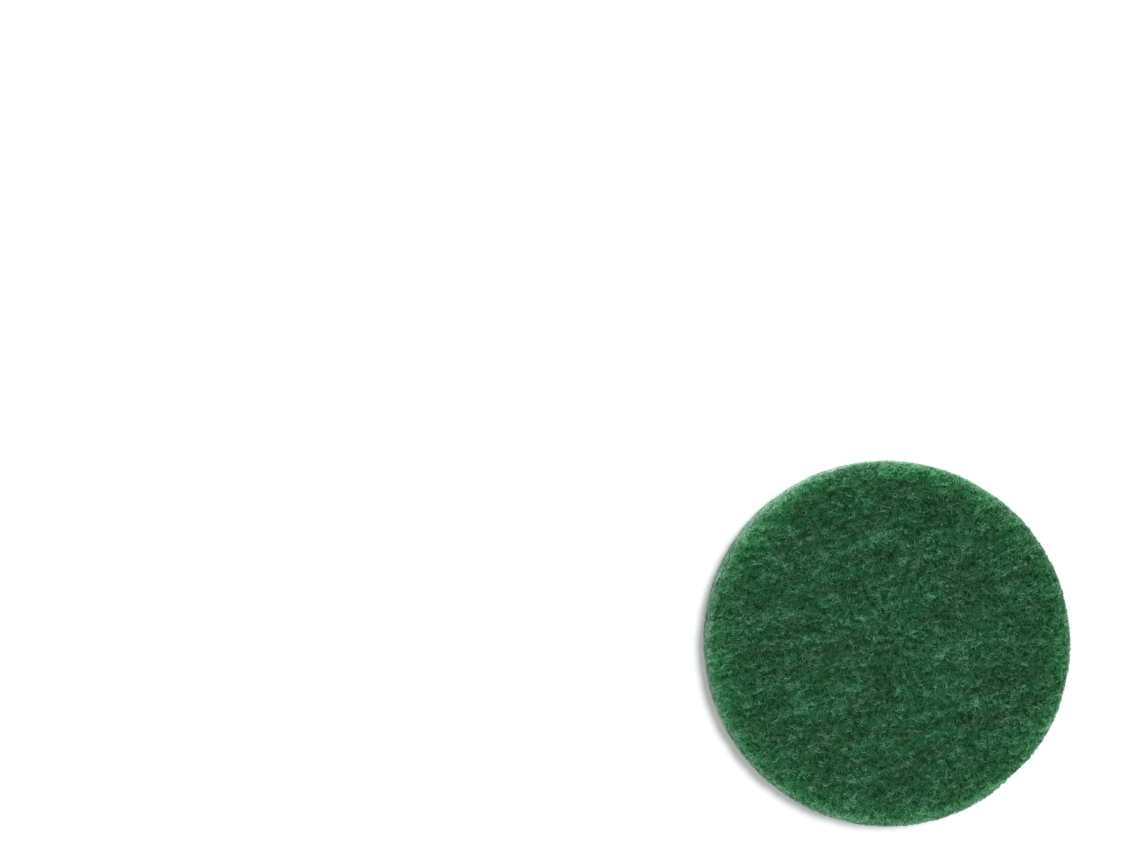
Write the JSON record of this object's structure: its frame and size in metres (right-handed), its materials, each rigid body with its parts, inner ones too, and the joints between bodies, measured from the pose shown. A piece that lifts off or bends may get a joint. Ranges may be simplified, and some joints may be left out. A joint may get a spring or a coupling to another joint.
{
  "type": "floor scrubbing pad",
  "caption": "Round, flat disc of coarse green nonwoven fibre web with a die-cut edge, gripped on either face by a scrubbing machine's drive plate.",
  "frame": {"origin": "on the disc's axis, in the plane of the face that lies on the floor", "axes": "+Z along the disc's axis, from the floor face to the driver face; +X roughly along the lay of the web, with the short flat of the outline at 48 degrees from +X towards -Y"},
  "size_m": [0.2, 0.2, 0.012],
  "materials": {
    "green_web": "matt resin-bonded nylon fibres, open and coarse"
  },
  "bodies": {
    "root": {"scrub_pad": "green_web"}
  },
  "joints": []
}
